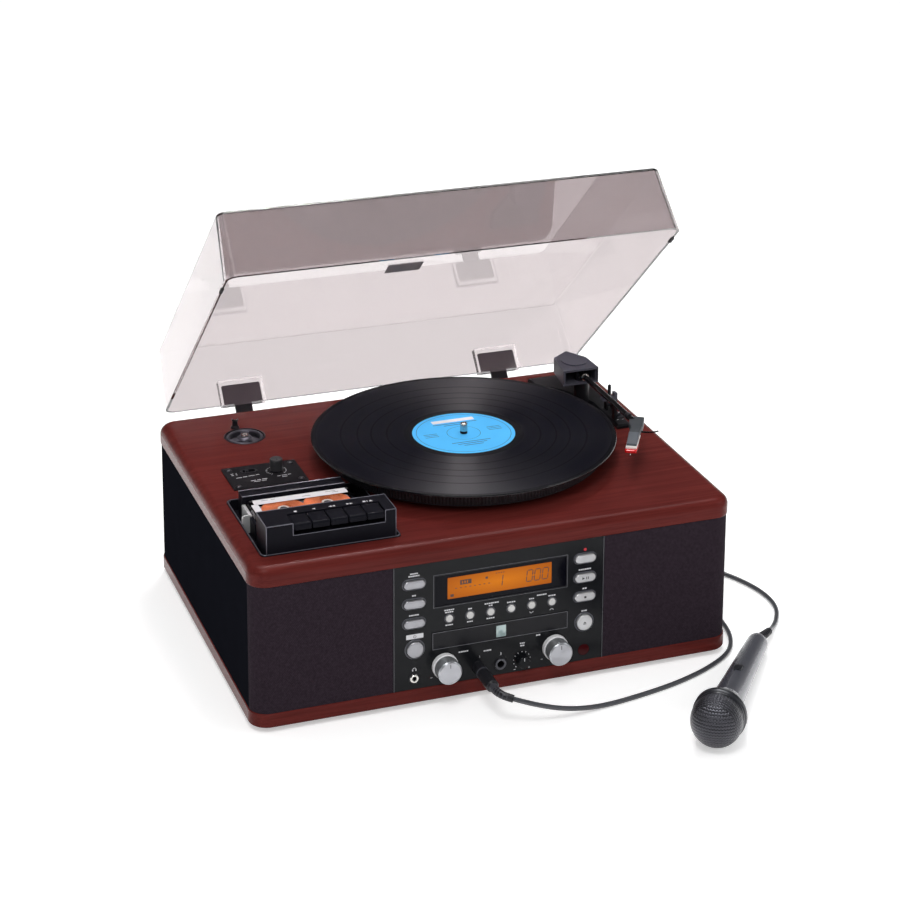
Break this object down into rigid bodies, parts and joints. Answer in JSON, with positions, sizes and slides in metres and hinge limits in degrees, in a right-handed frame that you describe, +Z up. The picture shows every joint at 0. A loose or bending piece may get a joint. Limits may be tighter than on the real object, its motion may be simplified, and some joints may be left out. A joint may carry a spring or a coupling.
{
  "type": "karaoke machine with disc tray",
  "caption": "Table-top music centre with a disc tray, record player, cassette recorder, clear dust cover and a corded hand microphone.",
  "frame": {"origin": "under the middle of the cabinet, on the surface that its feet stand on", "axes": "+X is the object's right, -Y its front, +Z up"},
  "size_m": [0.562, 0.5965, 0.445],
  "materials": {
    "bottom_board": "satin lacquer over reddish-brown veneer",
    "top_board": "satin lacquer over reddish-brown veneer",
    "side_panels": "black grained film on board",
    "rear_panel": "matte",
    "baffle": "bare board",
    "speaker_grilles": "fine woven speaker cloth",
    "front_panel": "gloss black moulding",
    "feet": "matte",
    "front_windows": "dark tinted window",
    "speakers": "paper cone and steel basket",
    "inner_works": "circuit board, transformer and the disc drive's chassis",
    "disc_tray": "black moulding",
    "platter": "moulded plate and rim with a rubber mat",
    "platter_rings": "moulded plate and rim with a rubber mat",
    "platter_drive": "turned and pressed steel",
    "motor_pulley": "turned",
    "record": "grooved vinyl with a paper label",
    "arm_base": "satin black moulding",
    "arm_pivot": "moulded",
    "tonearm": "black tube, grey headshell, red and white cartridge",
    "cue_lever": "moulded",
    "speed_switch": "moulded",
    "adapter_45": "satin",
    "deck_frame": "moulded",
    "cassette": "smoked clear shell",
    "control_plate": "moulded, with screws",
    "pitch_knob": "moulded",
    "select_switch": "moulded",
    "lid": "clear tinted acrylic",
    "hinge_leaves": "black steel",
    "hinge_brackets": "black steel",
    "jacks": "nickel rings on black bodies",
    "record_level_knob": "turned face, ringed side",
    "volume_knob": "turned face, ringed side",
    "mic_level_knob": "black moulding",
    "microphone": "grey lacquered body with a dark mesh ball",
    "mic_switch": "moulded",
    "mic_plug": "dark grey moulded sleeve",
    "cord_to_coil": "satin grey sheath",
    "cord_coil": "satin grey sheath",
    "cord_to_mic": "satin grey sheath",
    "tape_record_key": "moulded",
    "tape_play_key": "moulded",
    "tape_rewind_key": "moulded",
    "tape_fast_forward_key": "moulded",
    "tape_stop_eject_key": "moulded",
    "source_button_upper": "silver metallised",
    "source_button_middle": "silver metallised",
    "source_button_lower": "silver metallised",
    "record_button": "silver metallised",
    "play_pause_button": "silver metallised",
    "stop_button": "silver metallised",
    "power_button": "silver metallised",
    "tray_eject_button": "silver metallised",
    "mode_button": "silver metallised",
    "memory_button": "silver metallised",
    "search_button": "silver metallised",
    "clock_button": "silver metallised",
    "skip_back_button": "silver metallised",
    "skip_forward_button": "silver metallised"
  },
  "bodies": {
    "cabinet": {"bottom_board": "bottom_board", "top_board": "top_board", "side_panels": "side_panels", "rear_panel": "rear_panel", "baffle": "baffle", "speaker_grilles": "speaker_grilles", "front_panel": "front_panel", "feet": "feet", "front_windows": "front_windows", "speakers": "speakers", "inner_works": "inner_works", "platter_drive": "platter_drive", "arm_base": "arm_base", "deck_frame": "deck_frame", "control_plate": "control_plate", "hinge_brackets": "hinge_brackets", "jacks": "jacks", "mic_plug": "mic_plug", "microphone": "microphone", "cord_coil": "cord_coil", "cord_to_coil": "cord_to_coil", "cord_to_mic": "cord_to_mic"},
    "lid": {"lid": "lid", "hinge_leaves": "hinge_leaves"},
    "disc_tray": {"disc_tray": "disc_tray"},
    "platter": {"platter": "platter", "platter_rings": "platter_rings"},
    "motor_pulley": {"motor_pulley": "motor_pulley"},
    "record": {"record": "record"},
    "arm_pivot": {"arm_pivot": "arm_pivot"},
    "tonearm": {"tonearm": "tonearm"},
    "cue_lever": {"cue_lever": "cue_lever"},
    "speed_switch": {"speed_switch": "speed_switch"},
    "adapter_45": {"adapter_45": "adapter_45"},
    "cassette": {"cassette": "cassette"},
    "pitch_knob": {"pitch_knob": "pitch_knob"},
    "select_switch": {"select_switch": "select_switch"},
    "record_level_knob": {"record_level_knob": "record_level_knob"},
    "volume_knob": {"volume_knob": "volume_knob"},
    "mic_level_knob": {"mic_level_knob": "mic_level_knob"},
    "mic_switch": {"mic_switch": "mic_switch"},
    "tape_record_key": {"tape_record_key": "tape_record_key"},
    "tape_play_key": {"tape_play_key": "tape_play_key"},
    "tape_rewind_key": {"tape_rewind_key": "tape_rewind_key"},
    "tape_fast_forward_key": {"tape_fast_forward_key": "tape_fast_forward_key"},
    "tape_stop_eject_key": {"tape_stop_eject_key": "tape_stop_eject_key"},
    "source_button_upper": {"source_button_upper": "source_button_upper"},
    "source_button_middle": {"source_button_middle": "source_button_middle"},
    "source_button_lower": {"source_button_lower": "source_button_lower"},
    "record_button": {"record_button": "record_button"},
    "play_pause_button": {"play_pause_button": "play_pause_button"},
    "stop_button": {"stop_button": "stop_button"},
    "power_button": {"power_button": "power_button"},
    "tray_eject_button": {"tray_eject_button": "tray_eject_button"},
    "mode_button": {"mode_button": "mode_button"},
    "memory_button": {"memory_button": "memory_button"},
    "search_button": {"search_button": "search_button"},
    "clock_button": {"clock_button": "clock_button"},
    "skip_back_button": {"skip_back_button": "skip_back_button"},
    "skip_forward_button": {"skip_forward_button": "skip_forward_button"}
  },
  "joints": [
    {"name": "lid_hinge", "type": "hinge", "parent": "cabinet", "child": "lid", "pos_m": [0, 0.18827, 0.14575], "axis": [-1, 0, 0], "range_deg": [-41.18, 18.8]},
    {"name": "platter_spin", "type": "hinge", "parent": "cabinet", "child": "platter", "pos_m": [0.0313, 0.0034, 0.165], "axis": [0, 0, 1], "continuous": true},
    {"name": "motor_spin", "type": "hinge", "parent": "cabinet", "child": "motor_pulley", "pos_m": [-0.0467, 0.0254, 0.165], "axis": [0, 0, 1], "continuous": true},
    {"name": "record_lift", "type": "slide", "parent": "platter", "child": "record", "axis": [0, 0, 1], "range_m": [0, 0.06]},
    {"name": "arm_swing", "type": "hinge", "parent": "cabinet", "child": "arm_pivot", "pos_m": [0.1906, 0.084, 0.19], "axis": [0, 0, 1], "range_deg": [-38, 0]},
    {"name": "arm_lift", "type": "hinge", "parent": "arm_pivot", "child": "tonearm", "pos_m": [0.1906, 0.084, 0.1935], "axis": [-1, 0, 0], "range_deg": [0, 5]},
    {"name": "cue_lever_tilt", "type": "hinge", "parent": "cabinet", "child": "cue_lever", "pos_m": [0.208, 0.051, 0.1715], "axis": [1, 0, 0], "range_deg": [0, 40]},
    {"name": "disc_tray_slide", "type": "slide", "parent": "cabinet", "child": "disc_tray", "axis": [0, -1, 0], "range_m": [0, 0.135]},
    {"name": "adapter_lift", "type": "slide", "parent": "cabinet", "child": "adapter_45", "axis": [0, 0, 1], "range_m": [0, 0.02]},
    {"name": "cassette_lift", "type": "slide", "parent": "cabinet", "child": "cassette", "axis": [0, 0, 1], "range_m": [0, 0.025]},
    {"name": "pitch_knob_turn", "type": "hinge", "parent": "cabinet", "child": "pitch_knob", "pos_m": [-0.156, 0.0196, 0.165], "axis": [0, 0, 1], "range_deg": [-135, 135]},
    {"name": "select_switch_slide", "type": "slide", "parent": "cabinet", "child": "select_switch", "axis": [1, 0, 0], "range_m": [0, 0.004]},
    {"name": "speed_switch_turn", "type": "hinge", "parent": "cabinet", "child": "speed_switch", "pos_m": [0.209, 0.03, 0.165], "axis": [0, 0, 1], "range_deg": [-40, 0]},
    {"name": "record_level_turn", "type": "hinge", "parent": "cabinet", "child": "record_level_knob", "pos_m": [-0.0544, -0.185, 0.0384], "axis": [0, -1, 0], "range_deg": [-135, 135]},
    {"name": "volume_turn", "type": "hinge", "parent": "cabinet", "child": "volume_knob", "pos_m": [0.0548, -0.185, 0.0382], "axis": [0, -1, 0], "range_deg": [-135, 135]},
    {"name": "mic_level_turn", "type": "hinge", "parent": "cabinet", "child": "mic_level_knob", "pos_m": [0.0224, -0.185, 0.0299], "axis": [0, -1, 0], "range_deg": [-135, 135]},
    {"name": "mic_switch_slide", "type": "slide", "parent": "cabinet", "child": "mic_switch", "axis": [-0.6139, -0.7852, 0.0811], "range_m": [0, 0.005]},
    {"name": "tape_record_key_press", "type": "hinge", "parent": "cabinet", "child": "tape_record_key", "pos_m": [-0.1804, -0.139, 0.184], "axis": [1, 0, 0], "range_deg": [0, 11], "stiffness_Nm_per_rad": 0.02, "springref_deg": -11.46},
    {"name": "tape_play_key_press", "type": "hinge", "parent": "cabinet", "child": "tape_play_key", "pos_m": [-0.1632, -0.139, 0.184], "axis": [1, 0, 0], "range_deg": [0, 11], "stiffness_Nm_per_rad": 0.02, "springref_deg": -11.46},
    {"name": "tape_rewind_key_press", "type": "hinge", "parent": "cabinet", "child": "tape_rewind_key", "pos_m": [-0.146, -0.139, 0.184], "axis": [1, 0, 0], "range_deg": [0, 11], "stiffness_Nm_per_rad": 0.02, "springref_deg": -11.46},
    {"name": "tape_fast_forward_key_press", "type": "hinge", "parent": "cabinet", "child": "tape_fast_forward_key", "pos_m": [-0.1288, -0.139, 0.184], "axis": [1, 0, 0], "range_deg": [0, 11], "stiffness_Nm_per_rad": 0.02, "springref_deg": -11.46},
    {"name": "tape_stop_eject_key_press", "type": "hinge", "parent": "cabinet", "child": "tape_stop_eject_key", "pos_m": [-0.1116, -0.139, 0.184], "axis": [1, 0, 0], "range_deg": [0, 11], "stiffness_Nm_per_rad": 0.02, "springref_deg": -11.46},
    {"name": "source_button_upper_press", "type": "slide", "parent": "cabinet", "child": "source_button_upper", "axis": [0, 1, 0], "range_m": [0, 0.0015], "stiffness_N_per_m": 250, "springref_m": -0.001},
    {"name": "source_button_middle_press", "type": "slide", "parent": "cabinet", "child": "source_button_middle", "axis": [0, 1, 0], "range_m": [0, 0.0015], "stiffness_N_per_m": 250, "springref_m": -0.001},
    {"name": "source_button_lower_press", "type": "slide", "parent": "cabinet", "child": "source_button_lower", "axis": [0, 1, 0], "range_m": [0, 0.0015], "stiffness_N_per_m": 250, "springref_m": -0.001},
    {"name": "record_button_press", "type": "slide", "parent": "cabinet", "child": "record_button", "axis": [0, 1, 0], "range_m": [0, 0.0015], "stiffness_N_per_m": 250, "springref_m": -0.001},
    {"name": "play_pause_button_press", "type": "slide", "parent": "cabinet", "child": "play_pause_button", "axis": [0, 1, 0], "range_m": [0, 0.0015], "stiffness_N_per_m": 250, "springref_m": -0.001},
    {"name": "stop_button_press", "type": "slide", "parent": "cabinet", "child": "stop_button", "axis": [0, 1, 0], "range_m": [0, 0.0015], "stiffness_N_per_m": 250, "springref_m": -0.001},
    {"name": "power_button_press", "type": "slide", "parent": "cabinet", "child": "power_button", "axis": [0, 1, 0], "range_m": [0, 0.0015], "stiffness_N_per_m": 250, "springref_m": -0.001},
    {"name": "tray_eject_button_press", "type": "slide", "parent": "cabinet", "child": "tray_eject_button", "axis": [0, 1, 0], "range_m": [0, 0.0015], "stiffness_N_per_m": 250, "springref_m": -0.001},
    {"name": "mode_button_press", "type": "slide", "parent": "cabinet", "child": "mode_button", "axis": [0, 1, 0], "range_m": [0, 0.0015], "stiffness_N_per_m": 250, "springref_m": -0.001},
    {"name": "memory_button_press", "type": "slide", "parent": "cabinet", "child": "memory_button", "axis": [0, 1, 0], "range_m": [0, 0.0015], "stiffness_N_per_m": 250, "springref_m": -0.001},
    {"name": "search_button_press", "type": "slide", "parent": "cabinet", "child": "search_button", "axis": [0, 1, 0], "range_m": [0, 0.0015], "stiffness_N_per_m": 250, "springref_m": -0.001},
    {"name": "clock_button_press", "type": "slide", "parent": "cabinet", "child": "clock_button", "axis": [0, 1, 0], "range_m": [0, 0.0015], "stiffness_N_per_m": 250, "springref_m": -0.001},
    {"name": "skip_back_button_press", "type": "slide", "parent": "cabinet", "child": "skip_back_button", "axis": [0, 1, 0], "range_m": [0, 0.0015], "stiffness_N_per_m": 250, "springref_m": -0.001},
    {"name": "skip_forward_button_press", "type": "slide", "parent": "cabinet", "child": "skip_forward_button", "axis": [0, 1, 0], "range_m": [0, 0.0015], "stiffness_N_per_m": 250, "springref_m": -0.001}
  ],
  "couplings": [
    {"joint": "motor_spin", "follows": "platter_spin", "ratio": 10.333},
    {"joint": "arm_lift", "follows": "cue_lever_tilt", "ratio": 0.125}
  ]
}
